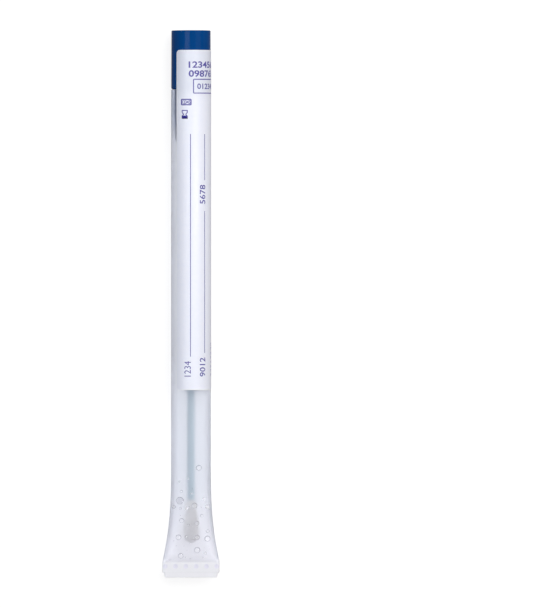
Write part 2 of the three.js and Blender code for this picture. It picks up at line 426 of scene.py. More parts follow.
tube = new_blank("tube_shell", tube_radius, flare_top_y, seam_y, 288, "NOTHING")
pick("EDGE", lambda p: p.y < flare_top_y + edge)
for y in flare + weld + tail:
    draw_to(y)
bpy.ops.mesh.edge_face_add()
pick("EDGE", lambda p: p.y > seam_y - edge)
draw_to(seam_y)
resize_about_axis(bore_radius / tube_radius)
for y in [flare_top_y] + flare:
    draw_to(y)
bpy.ops.mesh.edge_face_add()
print("rings in the flare, weld and tail:", len(flare), len(weld), len(tail))

# %% [markdown]
# ### Mouth and press
#
# The rim is moulded with rounded edges. Both are bevelled while the blank is still round, since the
# press doesn't reach them. Picking them needs care, because the rim's own face lies between: only
# edges near the outside or the bore pass the test.

# %% Mouth and press
mouth_edge = 0.16 * mm
rim_middle = tube_radius - wall / 2
pick("EDGE", lambda p: p.y > seam_y - edge and abs(off_axis(p) - rim_middle) > wall / 3)
bpy.ops.mesh.bevel(offset=mouth_edge, segments=3)
add_ring(seam_y - 0.5 * mm)
bpy.ops.object.mode_set(mode="OBJECT")
press(tube)
print("pressed:", len(tube.data.vertices), "points,", round(2 * bore_radius / mm, 2), "mm bore")

# %% [markdown]
# ### Press dimples
#
# The hot press leaves a row of shallow dimples on both faces of the weld, which hold it together.
# They could be cut with balls, but a Boolean leaves slivers in such a dense skin. Here every point
# near a dimple's middle is pushed towards the weld's own middle, by an amount that eases out.

# %% Press dimples
dimple_count, dimple_radius, dimple_depth = 6, 0.8 * mm, 0.1 * mm
dimple_y = band_bottom_y + 1.6 * mm
row_half = weld_half_width - band_thickness / 2
dimples = [row_half * (2 * i / (dimple_count - 1) - 1) for i in range(dimple_count)]


def from_dimple(point):
    """How far a point of the weld is from the middle of the nearest dimple, seen from above."""
    return min(math.hypot(point.x - x, point.y - dimple_y) for x in dimples)


for vertex in tube.data.vertices:
    if band_bottom_y < vertex.co.y < band_top_y:
        push = dimple_depth * (1 - eased((from_dimple(vertex.co) / dimple_radius) ** 1.5))
        vertex.co.z -= math.copysign(push, vertex.co.z - axis_z)
clean_and_smooth(tube, 30)
print("dimples at", [round(x / mm, 2) for x in dimples], "mm across")

# %% [markdown]
# ### Frosted polypropylene
#
# The wall is matt from its mould and slightly milky. So most of the light goes through, softened by
# the roughness, and some comes back as from white plastic. The drawn-out end is a touch warmer.
# Where the plug lies behind it, the wall's colour is painted greyer: painted shade for the light
# that the plug keeps from coming through.

# %% The wall's finish
milky, milkier = (0.975, 0.985, 0.998), (0.98, 0.99, 1.0)
frosted = new_finish("frosted_plastic", milky, 0.32, Transmission_Weight=0.94, IOR=1.45)
vary(frosted, "Base Color", noise_of(frosted, 160, 3, (1, 0.3, 1)), milky, milkier)
change_along(frosted, flare_top_y, weld_top_y, (1.0, 0.985, 0.985))
# Painted shade: the wall's colour is greyer where the plug lies behind it, for the light that the
# plug keeps out.
change_along(frosted, cap_bottom_y, cap_bottom_y + 8 * mm, (0.8, 0.84, 0.9))
bump(frosted, noise_of(frosted, 2600, 2), 0.002 * mm)
absorb(frosted, 600, (0.85, 0.865, 0.922))
let_lamps_in(frosted)
print(frosted.name, "varies from", milky, "to", milkier)

# %% [markdown]
# ### The pressed end
#
# Two walls are squeezed into one there, and plastic that has been melted again turns milky. So the
# weld is whiter and hardly lets light through. In the dimples the plastic is squeezed once more,
# and their colour is a little darker and bluer: partly the thinner plastic, and partly painted
# shade for the hollows, which are too shallow to shade themselves much. They are a slot of their
# own, given to the faces near each dimple's middle.

# %% The weld's finishes
solid_plastic = {"Transmission_Weight": 0.1, "IOR": 1.45}
pressed = new_finish("pressed_plastic", screen(241, 242, 247), 0.4, **solid_plastic)
bump(pressed, noise_of(pressed, 2500, 2), 0.01 * mm)
# Partly painted shade: the dimples' colour is darker and bluer than the weld's, for the shade in
# their hollows.
dimple_finish_and_shade = new_finish("dimple_plastic_and_shade", screen(233, 233, 246), 0.4, **solid_plastic)
for material in (frosted, pressed, dimple_finish_and_shade):
    tube.data.materials.append(material)
for face in tube.data.polygons:
    if face.center.y < weld_top_y:
        face.material_index = 2 if from_dimple(face.center) < 0.9 * dimple_radius else 1
belongs(tube, "tube", "tube", "tube")

# %% [markdown]
# ## The cap
#
# One moulding: a plain round head, and below it a hollow stepped plug that wedges in the mouth,
# with a socket up the middle for the stick. A profile could be spun round the axis, but insets and
# extrusions follow how the cap is built up, and each step has a name. The lower face of one
# cylinder is inset and extruded once for each step, down for the plug and up again for its core.

# %% Head and plug
head_radius, head_top_radius = 6.04 * mm, 5.97 * mm
plug_radius, plug_tail_radius, plug_wall = 5.1 * mm, 4.65 * mm, 1.0 * mm
cap = new_blank("cap_moulding", head_radius, seam_y + 0.03 * mm, cap_top_y, 144, "NGON")
pick("FACE", lambda p: p.y > cap_top_y - edge)
resize_about_axis(head_top_radius / head_radius)
pick("FACE", lambda p: p.y < seam_y + edge)
bpy.ops.mesh.inset(thickness=head_radius - plug_radius)
draw_to(cap_bottom_y + 8.2 * mm)
draw_to(cap_bottom_y + 7.6 * mm)
resize_about_axis(plug_tail_radius / plug_radius)
draw_to(cap_bottom_y)
print("plug", round((seam_y - cap_bottom_y) / mm, 2), "mm long below the head")

# %% [markdown]
# ### Core and socket
#
# A thick moulding would sink and warp, so the plug is hollow. Its end face is inset by the wall's
# thickness and pushed up as the core. The core's roof is inset and pulled down again, which leaves
# the socket's post, and a last inset and push opens the hole for the stick. Outer edges get their
# own bevels first, then a modifier eases what is left.

# %% Core and socket
core_radius, boss_radius, socket_radius = plug_tail_radius - plug_wall, 2.09 * mm, 1.195 * mm
bpy.ops.mesh.inset(thickness=plug_wall)
draw_to(cap_top_y - 4 * mm)
bpy.ops.mesh.inset(thickness=core_radius - boss_radius)
draw_to(cap_bottom_y + 2 * mm)
bpy.ops.mesh.inset(thickness=boss_radius - socket_radius)
draw_to(shaft_high.y + 0.05 * mm)
rim_only = 5.5 * mm
pick("EDGE", lambda p: off_axis(p) > rim_only and p.y > cap_top_y - edge)
bpy.ops.mesh.bevel(offset=0.2 * mm, segments=3)
pick("EDGE", lambda p: off_axis(p) > rim_only and p.y < seam_y + edge)
bpy.ops.mesh.bevel(offset=0.6 * mm, segments=5)
add_ring(seam_y + 1.0 * mm)
add_ring(cap_top_y - 0.5 * mm)
bpy.ops.object.mode_set(mode="OBJECT")
apply_modifier(cap, "BEVEL", width=0.1 * mm, segments=2, limit_method="ANGLE")
clean_and_smooth(cap, 35)
print("core", round(core_radius / mm, 2), "socket", round(socket_radius / mm, 3), "mm in radius")

# %% [markdown]
# ### Satin blue moulded plastic
#
# A tool's surface is polished along the draw, so it leaves fine lines along the cap. They are too
# fine to see one by one, but they spread a reflection. The blue itself has a faint cloudiness.

# %% Cap finish
cap_blue = new_finish("cap_blue", screen(9, 66, 127), 0.08, Specular_IOR_Level=0.04)
vary(cap_blue, "Base Color", noise_of(cap_blue, 300), screen(0, 62, 124), screen(3, 66, 130))
bump(cap_blue, noise_of(cap_blue, 5000, 2, (1, 0.05, 1)), 0.003 * mm)
cap.data.materials.append(cap_blue)
belongs(cap, "swab", "cap", "cap")

# %% [markdown]
# ### Crush ribs
#
# Low ribs along the plug are pinched by the bore, and that grip holds the cap. Each one presses a
# little way into the wall, where its blue shows through as a dark line. One rib is a bar drawn
# from a small plane, lower and narrower towards its tip, and turned copies of it are set round.
# Every copy has its own mesh, so that they can be joined at the end.

# %% One rib
rib_width, rib_depth, rib_radius = 0.62 * mm, 1.2 * mm, 5.22 * mm
select_only()
bpy.ops.mesh.primitive_plane_add(size=1)
rib = bpy.context.object
for vertex in rib.data.vertices:
    x, z = vertex.co.x, vertex.co.y
    vertex.co = (x * rib_width, seam_y - 0.1 * mm, rib_radius + (z - 0.5) * rib_depth)
bpy.ops.object.mode_set(mode="EDIT")
bpy.ops.mesh.select_all(action="SELECT")
draw_to(cap_bottom_y + 7 * mm)
draw_to(cap_bottom_y + 0.1 * mm)
bpy.ops.transform.resize(value=(0.5, 1, 1), center_override=(0, 0, rib_radius))
bpy.ops.transform.translate(value=(0, 0, -0.04 * mm))
bpy.ops.object.mode_set(mode="OBJECT")
apply_modifier(rib, "BEVEL", width=0.08 * mm, segments=2, limit_method="ANGLE")
print("one rib has", len(rib.data.polygons), "faces")

# %% Ribs round the plug
rib_count, rib_turn = 6, math.radians(-55.5)
ribs = []
for number in range(rib_count):
    copy = own_copy(rib)
    turn = rib_turn + number * math.tau / rib_count
    for vertex in copy.data.vertices:
        x, z = vertex.co.x, vertex.co.z
        vertex.co.x = x * math.cos(turn) + z * math.sin(turn)
        vertex.co.z = axis_z + z * math.cos(turn) - x * math.sin(turn)
    ribs.append(copy)
bpy.data.objects.remove(rib)
rib_all = join("plug_ribs", ribs)
clean_and_smooth(rib_all, 35)
rib_all.data.materials.append(cap_blue)
belongs(rib_all, "swab", "cap")

# %% [markdown]
# ## The stick
#
# An extruded plastic rod, cut to length, its ends eased by the cutter. A cylinder has the form
# already, and what makes it a rod is its ends and its finish: a ring near each end keeps the eased
# edge from bending the shading, and the noise is stretched along Y, because drawing leaves streaks.

# %% Stick
stick_radius = 1.17 * mm
stick = new_blank("stick", stick_radius, shaft_low.y, shaft_high.y, 48, "NGON")
add_ring(shaft_low.y + 0.5 * mm)
add_ring(shaft_high.y - 0.5 * mm)
bpy.ops.object.mode_set(mode="OBJECT")
apply_modifier(stick, "BEVEL", width=0.18 * mm, segments=3, limit_method="ANGLE")
clean_and_smooth(stick)
print("stick", round((shaft_high.y - shaft_low.y) / mm, 1), "mm long")

# %% Stick finish
pale_teal, paler_teal = screen(199, 219, 227), screen(209, 227, 235)
stick_teal = new_finish("stick_teal", pale_teal, 0.3)
streaks = noise_of(stick_teal, 700, 3, (1, 0.06, 1))
vary(stick_teal, "Base Color", streaks, pale_teal, paler_teal)
bump(stick_teal, noise_of(stick_teal, 8000, 2, (1, 0.02, 1)), 0.01 * mm)
stick.data.materials.append(stick_teal)
belongs(stick, "swab", "shaft", "shaft")

# %% [markdown]
# ## The bud
#
# Fibre is wound wet on the end of the stick, so it is a body with a soft skin: a shape turned like
# a drop, with a winding that shows as shallow slanting ridges, and loose hairs that stand off it.
# Its outline is a rounded tip and a long shoulder up to the neck.


# %% The bud's outline
bud_radius, bud_neck_radius, bud_tip_length = 2.34 * mm, 1.325 * mm, 2.7 * mm
bud_length = bud_neck_y - bud_tip_y


def bud_radius_at(high):
    """Radius of the bud at a height over its tip."""
    if high < bud_tip_length:
        return bud_radius * math.sqrt(max(1 - (1 - high / bud_tip_length) ** 2, 0))
    along = (high - bud_tip_length) / (bud_length - bud_tip_length)
    swell = 0.5 * (1 + math.cos(math.pi * along**1.3))
    return bud_neck_radius + (bud_radius - bud_neck_radius) * swell


for high in (0.5 * mm, bud_tip_length, bud_length / 2, bud_length):
    print("bud's radius at", round(high / mm, 1), "is", round(bud_radius_at(high) / mm, 2), "mm")

# %% [markdown]
# ### The wound body
#
# A sphere already has a closed skin with a pole at each end, so its rings are only moved: their
# heights are spread along the bud and their radii come from the outline. Two crossing waves round
# and along it, about a hundredth of its radius high, are the windings. They fade out at the tip.

# %% The bud's form
bud_slices, bud_rings = 128, 120
select_only()
bpy.ops.mesh.primitive_uv_sphere_add(segments=bud_slices, ring_count=bud_rings, radius=1)
bud = bpy.context.object
bud.name = bud.data.name = "fibre_bud"
for vertex in bud.data.vertices:
    turn = math.atan2(vertex.co.y, vertex.co.x)
    share = 1 - math.acos(min(max(vertex.co.z, -1), 1)) / math.pi
    high = share * bud_length
    radius = bud_radius_at(high)
    wound = math.sin(9 * turn + high / mm * 2.2) + 0.6 * math.sin(5 * turn - high / mm * 3.1)
    radius *= 1 + 0.008 * wound * min(share * 8, 1)
    if abs(vertex.co.z) > 0.99999:
        radius = 0
    vertex.co = (radius * math.sin(turn), bud_tip_y + high, axis_z + radius * math.cos(turn))
clean_and_smooth(bud, 60)
print("bud of", len(bud.data.polygons), "faces,", round(bud_length / mm, 1), "mm long")

# %% [markdown]
# ### Fibre
#
# The fibre is white and quite matt. Its fine grain is drawn out along the bud a little, and a sheen
# lightens it where it turns away, as loose ends do.

# %% Fibre finish
bud_fibre = new_finish("bud_fibre", screen(244, 243, 240), 0.95, Sheen_Weight=0.3)
bump(bud_fibre, noise_of(bud_fibre, 7000, 5, (1, 0.35, 1)), 0.06 * mm)
bud.data.materials.append(bud_fibre)
belongs(bud, "swab", "bud", "bud")

# %% [markdown]
# ### Loose hairs
#
# One hair is a bent strand with three sides. Its copies are rooted in faces of the skin picked at
# random, and each leans its own way. A hair system would do it too, but strands of mesh can be
# exported. With hundreds of them, each has only a few faces. Blender may number the skin's faces
# in another order on each run, so they are sorted by place before any are picked.

# %% One hair
select_only()
bpy.ops.mesh.primitive_circle_add(vertices=3, radius=0.014 * mm, fill_type="NGON")
hair = bpy.context.object
bpy.ops.object.mode_set(mode="EDIT")
for sideways, up, width in ((0.02, 0.14, 0.8), (0.07, 0.11, 0.5)):
    bpy.ops.mesh.extrude_region_move(
        TRANSFORM_OT_translate={"value": (sideways * mm, 0, up * mm)}
    )
    shape = bmesh.from_edit_mesh(hair.data)
    tip = [v.co for v in shape.verts if v.select]
    bpy.ops.transform.resize(value=(width,) * 3, center_override=sum(tip, Vector()) / len(tip))
bpy.ops.object.mode_set(mode="OBJECT")
print("one hair has", len(hair.data.polygons), "faces")

# %% Hairs on the skin
def place_on_bud(face):
    """The ring and the slice of the bud that a face is in."""
    ring = (face.center.y - bud_tip_y) / bud_length * bud_rings
    turn = math.atan2(face.center.x, face.center.z - axis_z)
    return int(ring), int((turn / math.tau + 0.5) * bud_slices)


hair_count = 320
windblown = random.Random(3)
skin = [f for f in bud.data.polygons if bud_tip_y + 0.4 * mm < f.center.y < bud_neck_y - 0.6 * mm]
skin.sort(key=place_on_bud)
print(len(skin), "faces to root a hair in, at", len({place_on_bud(f) for f in skin}), "places")
hairs = []
for root in windblown.sample(skin, hair_count):
    copy = own_copy(hair)
    lean = Vector([windblown.uniform(-0.9, 0.9) for _ in range(3)])
    way = (root.normal + lean).normalized().to_track_quat("Z", "Y").to_matrix().to_4x4()
    size = Matrix.Scale(windblown.uniform(0.7, 1.5), 4)
    copy.data.transform(Matrix.Translation(root.center - root.normal * 0.02 * mm) @ way @ size)
    hairs.append(copy)
bpy.data.objects.remove(hair)
fuzz = join("bud_hairs", hairs)
clean_and_smooth(fuzz, 60)
fuzz.data.materials.append(bud_fibre)
belongs(fuzz, "swab", "bud")

# %% [markdown]
# ## The label
#
# A printed film, cut flat with round corners and rolled on. It is modelled the same way: a flat
# sheet with its corners bevelled, cut in narrow strips by bisecting so that it can bend, wrapped
# round the tube and given its thickness. It is also the seal: its top is stuck on the cap and
# tears off there, so that part is a sheet of its own that rides with the cap. The print goes the
# same way later, so the steps are helpers.


# %% Plate, cuts and roll
film_radius, film_thickness, head_draft = 6.152 * mm, 0.1 * mm, 0.06 * mm


def flat_plate(left, low, right, high):
    """A flat rectangle with these sides, in metres round from the top and along the tube."""
    select_only()
    bpy.ops.mesh.primitive_plane_add(size=1)
    plate = bpy.context.object
    plate.scale = (right - left, high - low, 1)
    plate.location = ((left + right) / 2, (low + high) / 2, 0)
    bpy.ops.object.transform_apply(location=True, rotation=True, scale=True)
    return plate


def cut_for_bending(step):
    """In edit mode, bisects everything along the tube at regular steps round it."""
    shape = bmesh.from_edit_mesh(bpy.context.object.data)
    low, high = min(v.co.x for v in shape.verts), max(v.co.x for v in shape.verts)
    x = math.ceil(low / step) * step
    while x < high:
        bpy.ops.mesh.select_all(action="SELECT")
        bpy.ops.mesh.bisect(plane_co=(x, 0, 0), plane_no=(1, 0, 0))
        x += step


def part_at_seam(name):
    """In edit mode, parts what is stuck on the cap from what stays on the tube."""
    sheet = bpy.context.object
    bpy.ops.mesh.select_all(action="SELECT")
    bpy.ops.mesh.bisect(plane_co=(0, seam_y, 0), plane_no=(0, 1, 0))
    pick("FACE", lambda p: p.y > seam_y)
    bpy.ops.mesh.separate(type="SELECTED")
    bpy.ops.object.mode_set(mode="OBJECT")
    other = next(o for o in bpy.context.selected_objects if o is not sheet)
    other.name = other.data.name = name
    return other


def wrap_round(obj, lift=0.0):
    """Rolls a flat piece on: its X becomes the way round from the top, and lift stands it off."""
    for vertex in obj.data.vertices:
        turn = vertex.co.x / film_radius
        on_head = min(max((vertex.co.y - seam_y) / (cap_top_y - seam_y), 0), 1)
        out = film_radius + lift - head_draft * on_head
        vertex.co.x, vertex.co.z = out * math.sin(turn), axis_z + out * math.cos(turn)


print("film", round(math.tau * film_radius / mm, 1), "mm all the way round")

# %% [markdown]
# ### White film
#
# The film is coated white where it takes print, and its cut edge is bare and brighter: two
# colours of one finish. It is thin, so lamps reach what lies under it, dimmed by half, and over the
# blue cap it looks greyer. The coating is smooth, with a gloss that changes a little all over.


# %% Film finishes
def film_finish(name, colour, other_colour):
    material = new_finish(name, colour, 0.45)
    vary(material, "Base Color", noise_of(material, 900, 4), colour, other_colour)
    change_along(material, seam_y - 4 * mm, seam_y + mm, (0.9, 0.91, 0.92))
    vary(material, "Roughness", noise_of(material, 500, 3), 0.4, 0.5)
    let_lamps_in(material, (0.5, 0.52, 0.55))
    bump(material, noise_of(material, 1800, 2), 0.004 * mm)
    return material


label_film = film_finish("label_film", screen(235, 239, 252), screen(238, 241, 252))
bare_film = film_finish("bare_film", screen(247, 249, 253), screen(249, 251, 255))
print("film finishes:", label_film.name, bare_film.name)

# %% [markdown]
# ### The flat sheet
#
# A plane at the label's size gets its corners rounded by bevelling its points. One inset along the
# border then gives the bare edge its own faces. Both steps are easy on a flat sheet and would be
# hard on a rolled one, so the roll comes last.

# %% Flat sheet
label_left, label_width = math.radians(-45.6) * film_radius, 28 * mm
label_corner, white_edge = 1.2 * mm, 0.3 * mm
label = flat_plate(label_left, label_bottom_y, label_left + label_width, label_top_y)
label.name = label.data.name = "label_film"
for material in (label_film, bare_film):
    label.data.materials.append(material)
bpy.ops.object.mode_set(mode="EDIT")
bpy.ops.mesh.select_all(action="SELECT")
bpy.ops.mesh.bevel(offset=label_corner, segments=10, affect="VERTICES")
bpy.ops.mesh.select_all(action="SELECT")
label.active_material_index = 1
bpy.ops.object.material_slot_assign()
bpy.ops.mesh.inset(thickness=white_edge)
label.active_material_index = 0
bpy.ops.object.material_slot_assign()
cut_for_bending(0.25 * mm)
print("label", [round(v / mm, 1) for v in (label_width, label_top_y - label_bottom_y)], "mm flat")

# %% [markdown]
# ### Tear line and roll
#
# Opening the tube tears the label along the seam under the cap. The sheet is cut there and parted,
# so each part can ride on its own body and nothing has to stretch. Then both are rolled on and
# given the film's thickness outwards from the glue.

# %% Tear line and roll
seal = part_at_seam("seal_film")
for sheet, body, node in ((label, "tube", "label"), (seal, "swab", "label_seal_strip")):
    wrap_round(sheet)
    apply_modifier(sheet, "SOLIDIFY", thickness=film_thickness, offset=-1)
    clean_and_smooth(sheet, 30)
    belongs(sheet, body, "label", node)

# %% [markdown]
# ## The print
#
# The print is a skin of ink on the film. A picture on the film would need an image, and it would
# blur close up, so every mark is a thin mesh of its own. Each is flat to begin with, in millimetres
# round from the top and along the tube. Lines are bars. A box is a plate whose border is kept and
# whose middle is deleted.

# %% Bars and boxes
ink_marks = []


def ink_bar(left, low, right, high):
    bar = flat_plate(left * mm, low * mm, right * mm, high * mm)
    ink_marks.append(bar)
    return bar


def keep_border(line):
    """In edit mode, insets a plate and deletes its middle, so that only a line is left."""
    bpy.ops.mesh.select_all(action="SELECT")
    bpy.ops.mesh.inset(thickness=line * mm)
    bpy.ops.mesh.delete(type="FACE")
    bpy.ops.object.mode_set(mode="OBJECT")


def ink_frame(left, low, right, high, line, corner):
    """A box drawn as a line: a rounded plate, inset, with its middle deleted."""
    box = ink_bar(left, low, right, high)
    bpy.ops.object.mode_set(mode="EDIT")
    bpy.ops.mesh.select_all(action="SELECT")
    bpy.ops.mesh.bevel(offset=corner * mm, segments=5, affect="VERTICES")
    keep_border(line)


def ink_waisted(left, low, right, high, line, waist):
    """A frame with a waist at mid height, cut across there and narrowed."""
    box = ink_bar(left, low, right, high)
    bpy.ops.object.mode_set(mode="EDIT")
    middle, step = (low + high) / 2, (high - low) / 5
    for y in (middle - step, middle, middle + step):
        add_ring(y * mm)
    pick("VERT", lambda p: abs(p.y - middle * mm) < edge)
    bpy.ops.transform.resize(
        value=(waist, 1, 1), center_override=((left + right) / 2 * mm, middle * mm, 0)
    )
    keep_border(line)


# %% [markdown]
# ### Numbers
#
# Blender's text object is made a mesh, measured, and stretched to the height and pitch of the real
# rows. Rows that read upwards are turned a quarter by swapping the two directions. What they say is
# plain counting.


# %% Rows of numbers
def ink_numbers(text, left, low, high, pitch, bold=0.0, upwards=False):
    """A row of numbers between two heights, or turned to read upwards between two places round."""
    select_only()
    bpy.ops.object.text_add()
    row = bpy.context.object
    row.data.body = text
    row.data.offset = bold
    row.data.resolution_u = 3
    bpy.ops.object.convert(target="MESH")
    row = bpy.context.object
    xs = [v.co.x for v in row.data.vertices]
    ys = [v.co.y for v in row.data.vertices]
    wide = pitch * len(text) * mm / (max(xs) - min(xs))
    tall = (high - low) * mm / (max(ys) - min(ys))
    for vertex in row.data.vertices:
        x, y = (vertex.co.x - min(xs)) * wide, (vertex.co.y - min(ys)) * tall
        if upwards:
            vertex.co = (high * mm - y, left * mm + x, 0)
        else:
            vertex.co = (left * mm + x, low * mm + y, 0)
    ink_marks.append(row)


# %% [markdown]
# ### What is printed where
#
# Two bold rows and a framed row near the cap, two small signs below them, and two long lines to
# write on with numbers at their ends. Each line of code is one mark: its left and low side, then
# its right and high side, all in millimetres.

# %% Marks
ink_numbers("1234567890", -0.7, 71.9, 73.95, 1.66, 0.024)
ink_numbers("0987654321", -0.7, 69.15, 71.25, 1.66, 0.024)
ink_frame(0.66, 64.1, 13.2, 68.6, 0.3, 0.35)
ink_numbers("01234567", 1.95, 65.45, 67.2, 1.3, 0.02)
ink_frame(-3.16, 60.5, 0.22, 62.5, 0.36, 0.35)
ink_numbers("12345", -2.75, 60.95, 62.05, 0.52, 0.03)
ink_waisted(-2.88, 56.42, -0.97, 59.1, 0.28, 0.55)
dark_block = ink_bar(-2.88, 56.42, -0.97, 57.4)
ink_bar(-0.23, -16.0, -0.01, 51.8)
ink_numbers("1234", -22.1, -2.03, 0.0, 1.16, upwards=True)
ink_bar(4.49, 37.7, 4.71, 51.8)
ink_numbers("5678", 30.5, 2.8, 4.85, 1.45, 0.01, upwards=True)
ink_bar(4.49, -14.9, 4.71, 28.3)
ink_numbers("9012", -22.1, 2.8, 4.85, 1.45, 0.01, upwards=True)
ink_numbers("34567890", -22.1, 8.2, 9.7, 1.3, upwards=True)
print(len(ink_marks), "marks")

# %% [markdown]
# ### Ink on the film
#
# Thin ink lies a little unevenly, so its violet varies in fine patches. One solid block is printed
# darker. All marks become one mesh, which is cut for bending, parted at the tear line, rolled on
# just proud of the film, and given the thickness of ink.

# %% Ink finishes
violet, pale_violet = screen(75, 69, 153), screen(90, 84, 163)
ink_violet = new_finish("ink_violet", violet, 0.4)
vary(ink_violet, "Base Color", noise_of(ink_violet, 3000), violet, pale_violet)
dark_blue, blue = screen(26, 20, 130), screen(38, 32, 142)
ink_blue = new_finish("ink_blue", dark_blue, 0.4)
vary(ink_blue, "Base Color", noise_of(ink_blue, 3000), dark_blue, blue)
print("inks:", ink_violet.name, ink_blue.name)

# %% Print on the film
ink_lift, ink_thickness = 0.012 * mm, 0.008 * mm
for mark in ink_marks:
    mark.data.materials.append(ink_blue if mark is dark_block else ink_violet)
print_all = join("print_on_label", ink_marks)
bpy.ops.object.mode_set(mode="EDIT")
cut_for_bending(0.3 * mm)
print_seal = part_at_seam("print_on_seal")
for ink, body in ((print_all, "tube"), (print_seal, "swab")):
    wrap_round(ink, ink_lift)
    apply_modifier(ink, "SOLIDIFY", thickness=ink_thickness, offset=-1)
    clean_and_smooth(ink, 30)
    belongs(ink, body, "label")

# %% [markdown]
# ## The drops
#
# The tube is packed moist, and water beads on the outside of its wall. A bead is the top of a flat
# sphere, modelled once. Each copy is laid on the wall by the press rule, which also knows where
# the skin is at every place: a bead's own height is just an inset the other way. Each point also
# keeps how near the rim it is, as an attribute that the water's finish can read.

# %% One bead
# Painted shade: the second number centres each ring's darker tint a little low, so the upper side
# of every ring is darker.
bead_lift, painted_shade_shift = 0.012 * mm, 0.06
select_only()
bpy.ops.mesh.primitive_uv_sphere_add(segments=28, ring_count=16, radius=1)
bead = bpy.context.object
bead.name = "bead"


def angle_on_blank(x, y):
    """The angle on the round blank of the place on the upper wall that is at x."""
    low, high = 0.0, math.pi / 2
    for _ in range(30):
        turn = (low + high) / 2
        if on_oval(turn, y)[0] < abs(x):
            low = turn
        else:
            high = turn
    return math.copysign(low, x)


def lay_bead(x, y, radius, height, shade_reach=0.0):
    """A copy of the bead on the wall, in millimetres. A last number above nought carries the rim's
    painted shade in across its middle.
    """
    copy = own_copy(bead)
    left, right = (angle_on_blank((x + side) * mm, y * mm) for side in (-radius, radius))
    rim = copy.data.attributes.new("rim", "FLOAT", "POINT")
    for vertex in copy.data.vertices:
        from_middle = math.hypot(vertex.co.x, vertex.co.y + painted_shade_shift)
        rim.data[vertex.index].value = max(from_middle, shade_reach)
        rise = max(vertex.co.z, 0.0) * height * mm
        place_y = (y + vertex.co.y * radius) * mm
        turn = (left + right) / 2 + (right - left) / 2 * vertex.co.x
        place_x, place_z = on_oval(turn, place_y, -bead_lift - rise)
        vertex.co = (place_x, place_y, place_z)
    return copy


print("one bead has", len(bead.data.polygons), "faces")

# %% [markdown]
# ### Water
#
# A bead is a lens: its middle is clear and its rim bends the light away, which shows as a darker
# ring. On a bead this small the bend alone gives a weak ring, so a ramp on the rim attribute paints
# the ring darker. This is painted shade, centred a little low so that the upper side of each ring
# is darker. Some beads are misted. They scatter a quarter of the light, which makes them bright
# spots.


# %% Water finishes
def water_finish(name, roughness, transmission, middle, rim_shade_colour):
    """Water whose colour is darkened from the middle's to the edge's over the outer part of a bead:
    painted shade for the lens's dark ring.
    """
    material = new_finish(name, middle, roughness, Transmission_Weight=transmission, IOR=1.333)
    let_lamps_in(material)
    tree = material.node_tree
    rim = add_node(tree, "Attribute")
    rim.attribute_name = "rim"
    # Painted shade: the ramp darkens the colour towards each bead's rim.
    painted_rim_shade = ramp_of(tree, rim.outputs["Fac"], middle, rim_shade_colour, 0.62, 1.0)
    tree.links.new(painted_rim_shade, tree.nodes["Principled BSDF"].inputs["Base Color"])
    return material


# The last colour of each is the painted shade at the beads' rims.
water = water_finish("water", 0.02, 1.0, (1, 1, 1), (0.56, 0.55, 0.59))
bright_water = water_finish("bright_water", 0.1, 0.75, (0.98, 0.985, 1), (0.75, 0.77, 0.82))
print("water finishes:", water.name, bright_water.name)

# %% [markdown]
# ### Beads on the wall
#
# The larger beads are listed one by one, each by its middle and its radius in millimetres, where
# moisture gathers round the bud. Beads on the steep sides are kept lower, so that they don't stand
# out past the wall. A fine spray of small ones is then strewn between them at random, denser
# towards the weld, and never on top of a placed bead.

# %% Placed beads
clear_beads = [
    (2.4, -49.9, 0.88), (-2.9, -57.1, 0.45), (1.1, -61.4, 0.88), (-3.2, -62.3, 0.42),
    (3.3, -64.5, 0.5), (-2.8, -66.0, 0.75), (1.85, -66.8, 0.7), (-0.8, -67.4, 0.45),
    (5.1, -69.2, 0.55), (-3.8, -71.1, 0.85), (1.9, -71.1, 0.8), (5.0, -71.5, 0.92),
    (1.9, -75.0, 0.95), (-3.1, -76.8, 0.85), (-6.4, -78.0, 0.32), (-0.2, -77.8, 0.3),
    (3.6, -77.3, 0.28), (-1.4, -71.0, 0.5),
]
bright_beads = [
    (-0.8, -53.2, 0.25), (-3.5, -54.1, 0.3), (0.0, -57.8, 0.22), (0.5, -57.8, 0.22),
    (3.8, -59.4, 0.42), (-1.3, -62.3, 0.6), (-5.2, -61.8, 0.6), (4.9, -61.8, 0.7),
    (4.4, -76.0, 0.5),
]
# Painted shade: this large bead is tinted grey across its middle as well, for the darker
# surroundings that it lenses.
shaded_beads = [(-3.3, -59.9, 1.15)]
laid = []
for beads, material, shade_reach in (
    (clear_beads, water, 0.0), (bright_beads, bright_water, 0.0), (shaded_beads, water, 0.76)
):
    for x, y, radius in beads:
        height = min(0.6 * radius, 0.5) * (0.6 if abs(x) > 4.8 else 1)
        laid.append(lay_bead(x, y, radius, height, shade_reach))
        laid[-1].data.materials.append(material)
placed = clear_beads + bright_beads + shaded_beads
print(len(placed), "beads placed by hand")

# %% Strewn beads
bead_count = 60
small = random.Random(7)
while len(laid) < bead_count:
    x, y, radius = small.uniform(-6, 6), small.uniform(-78, -50), small.uniform(0.08, 0.2)
    if abs(x) < 4.2 + max(-y - 62, 0) * 0.17 and small.random() < (-y - 46) / 32:
        if all(math.hypot(x - bx, y - by) > radius + r + 0.1 for bx, by, r in placed):
            laid.append(lay_bead(x, y, radius, 0.6 * radius))
            laid[-1].data.materials.append(water)
bpy.data.objects.remove(bead)
drops = join("moisture_drops", laid)
clean_and_smooth(drops, 60)
belongs(drops, "tube", "tube")

# %% [markdown]
# ## Floor, light and camera
#
# The tube lies on white. Turning the lamps up until a floor burns out would burn out the label too.
# So the white is a glow that only some rays get to see: those straight from the camera, those in a
# reflection and those through clear plastic. It doesn't light the object, and the floor still takes
# its shadow. Each kind of ray has a strength of its own, and a ray of two kinds gets the larger.


